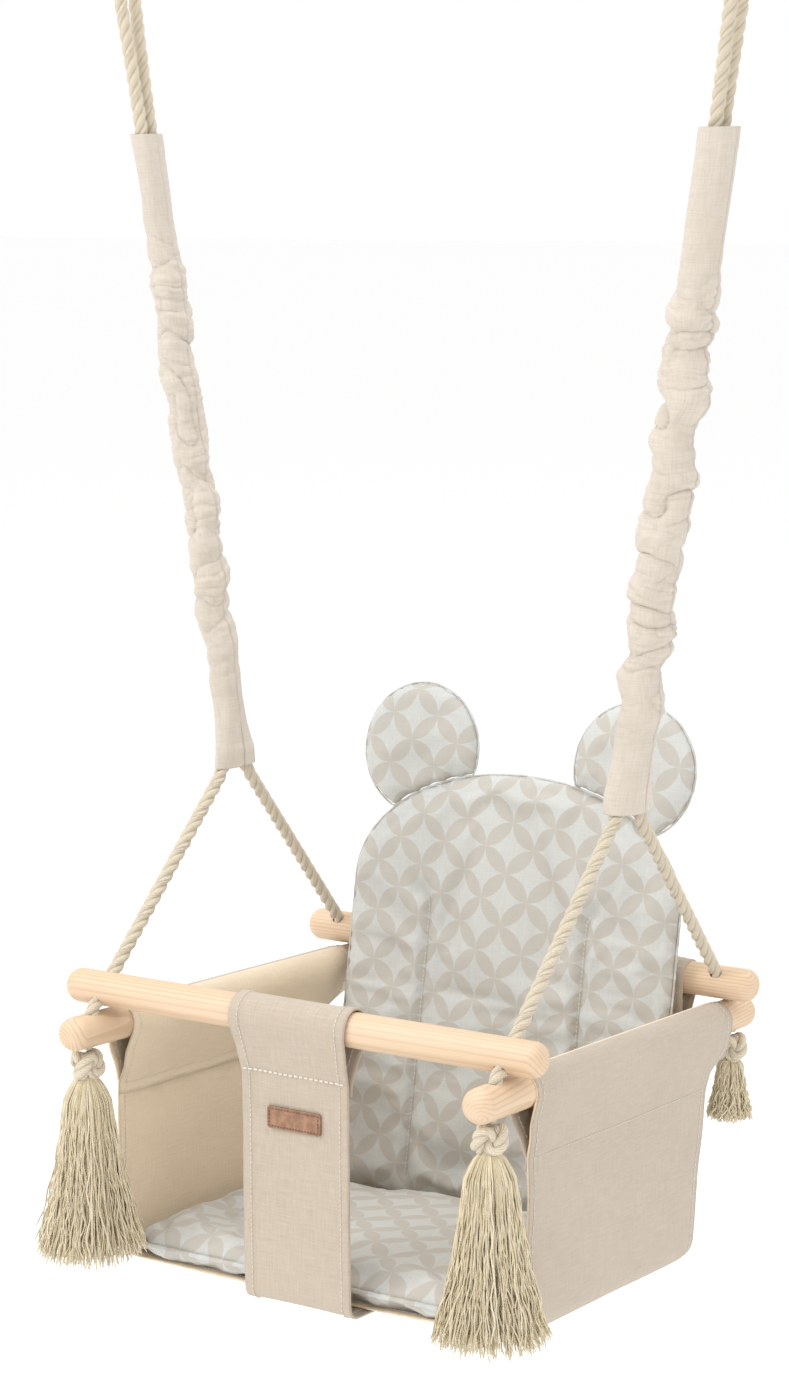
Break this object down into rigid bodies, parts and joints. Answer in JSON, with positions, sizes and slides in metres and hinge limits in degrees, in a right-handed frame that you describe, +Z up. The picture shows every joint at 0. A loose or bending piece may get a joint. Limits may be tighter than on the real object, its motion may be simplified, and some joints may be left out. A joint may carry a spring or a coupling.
{
  "type": "toddler swing seat",
  "caption": "Hanging toddler swing: a wooden rod frame on two ropes holds a canvas bucket seat with a padded cushion, a crotch strap and cotton tassels.",
  "frame": {"origin": "middle of the swing axis, on the line along X through the lowest wires of the two hanging rings", "axes": "+Z up as it hangs, +Y towards the seat's back, +X towards the child's left hand (the right as seen from the front)"},
  "size_m": [0.565, 0.4136, 1.0131],
  "materials": {
    "rod_wood": "satin clear-coated pine",
    "rope_cotton": "three-strand natural cotton rope",
    "tassel_cotton": "loose natural cotton yarn",
    "canvas": "heavy plain-weave natural cotton canvas",
    "printed_cotton": "white cotton with a beige petal print",
    "patch_leather": "smooth brown leather, matte",
    "ring_steel": "zinc-plated steel"
  },
  "bodies": {
    "hangers": {"left_hanging_ring": "ring_steel", "right_hanging_ring": "ring_steel"},
    "seat": {"left_rope": "rope_cotton", "right_rope": "rope_cotton", "left_rope_sleeve": "canvas", "right_rope_sleeve": "canvas", "left_side_rod": "rod_wood", "right_side_rod": "rod_wood", "back_rod": "rod_wood", "side_sling": "canvas", "back_panel": "canvas", "seat_cushion": "printed_cotton", "front_left_knot": "rope_cotton", "front_right_knot": "rope_cotton", "rear_left_knot": "rope_cotton", "rear_right_knot": "rope_cotton"},
    "front_bar": {"front_rod": "rod_wood", "crotch_strap": "canvas", "strap_patch": "patch_leather"},
    "back_rest": {"back_cushion": "printed_cotton", "left_ear": "printed_cotton", "right_ear": "printed_cotton"},
    "front_left_tassel": {"front_left_tassel": "tassel_cotton"},
    "front_right_tassel": {"front_right_tassel": "tassel_cotton"},
    "rear_left_tassel": {"rear_left_tassel": "tassel_cotton"},
    "rear_right_tassel": {"rear_right_tassel": "tassel_cotton"}
  },
  "joints": [
    {"name": "swing", "type": "hinge", "parent": "hangers", "child": "seat", "pos_m": [0, 0, 0], "axis": [1, 0, 0], "range_deg": [-45, 45]},
    {"name": "front_bar_lift", "type": "slide", "parent": "seat", "child": "front_bar", "axis": [0, 0.7485, 0.6632], "range_m": [0, 0.06], "deforming": ["crotch_strap"]},
    {"name": "back_cushion_fold", "type": "hinge", "parent": "seat", "child": "back_rest", "pos_m": [0, 0.08147, -0.95455], "axis": [1, 0, 0], "range_deg": [0, 40]},
    {"name": "front_left_tassel_swing", "type": "hinge", "parent": "seat", "child": "front_left_tassel", "pos_m": [-0.17, -0.19105, -0.80006], "axis": [1, 0, 0], "range_deg": [-45, 0]},
    {"name": "front_right_tassel_swing", "type": "hinge", "parent": "seat", "child": "front_right_tassel", "pos_m": [0.17, -0.19105, -0.80006], "axis": [1, 0, 0], "range_deg": [-45, 0]},
    {"name": "rear_left_tassel_swing", "type": "hinge", "parent": "seat", "child": "rear_left_tassel", "pos_m": [-0.17, 0.16134, -0.8247], "axis": [1, 0, 0], "range_deg": [-20, 45]},
    {"name": "rear_right_tassel_swing", "type": "hinge", "parent": "seat", "child": "rear_right_tassel", "pos_m": [0.17, 0.16134, -0.8247], "axis": [1, 0, 0], "range_deg": [-20, 45]}
  ]
}
